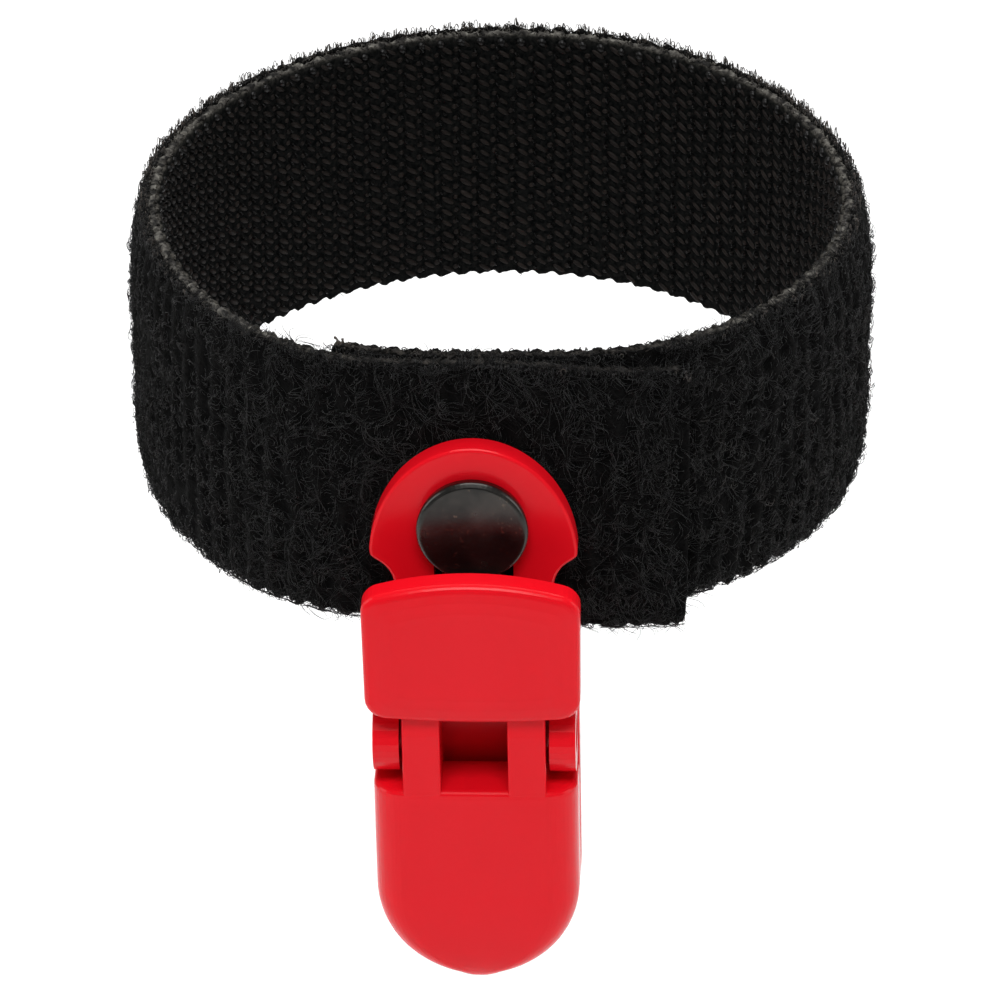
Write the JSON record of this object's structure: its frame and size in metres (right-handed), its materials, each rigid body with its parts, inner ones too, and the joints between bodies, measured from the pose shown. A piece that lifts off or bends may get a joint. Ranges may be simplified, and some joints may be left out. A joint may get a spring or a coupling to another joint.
{
  "type": "wrist strap",
  "caption": "Hook-and-loop wrist strap closed into a ring, with a sprung jaw clip that swivels on a rivet through its peel-open lap.",
  "frame": {"origin": "centre of the strap's ring, at the middle of its width", "axes": "+Z along the wrist, up; the clip hangs on the -Y side; +X towards the lap's free end"},
  "size_m": [0.0654, 0.0768, 0.0593],
  "materials": {
    "hook_tape": "woven nylon with rows of moulded hooks",
    "bond_film": "matt film",
    "loop_tape": "brushed curly pile",
    "black_metal": "blackened, worn satin",
    "red_plastic": "glossy moulding",
    "spring_steel": "rolled strip"
  },
  "bodies": {
    "strap": {"strap_hook_tape": "hook_tape", "strap_bond_film": "bond_film", "strap_loop_tape": "loop_tape"},
    "lap": {"lap_hook_tape": "hook_tape", "lap_bond_film": "bond_film", "lap_loop_tape": "loop_tape", "rivet_cap": "black_metal", "rivet_post": "black_metal", "rivet_back_cap": "black_metal"},
    "clip_back": {"clip_back_moulding": "red_plastic", "leaf_spring": "spring_steel"},
    "clip_front": {"clip_front_moulding": "red_plastic"}
  },
  "joints": [
    {"name": "lap_peel", "type": "hinge", "parent": "strap", "child": "lap", "pos_m": [-0.01461, -0.03098, 0], "axis": [0, 0, -1], "range_deg": [0, 45]},
    {"name": "clip_swivel", "type": "hinge", "parent": "lap", "child": "clip_back", "pos_m": [-0.00085, -0.03308, -0.0012], "axis": [0, -1, 0], "continuous": true},
    {"name": "jaw_open", "type": "hinge", "parent": "clip_back", "child": "clip_front", "pos_m": [-0.00051, -0.03788, -0.02095], "axis": [-0.9998, 0, -0.0175], "range_deg": [0, 10], "stiffness_Nm_per_rad": 0.3, "springref_deg": -9.74, "deforming": ["leaf_spring"]}
  ]
}
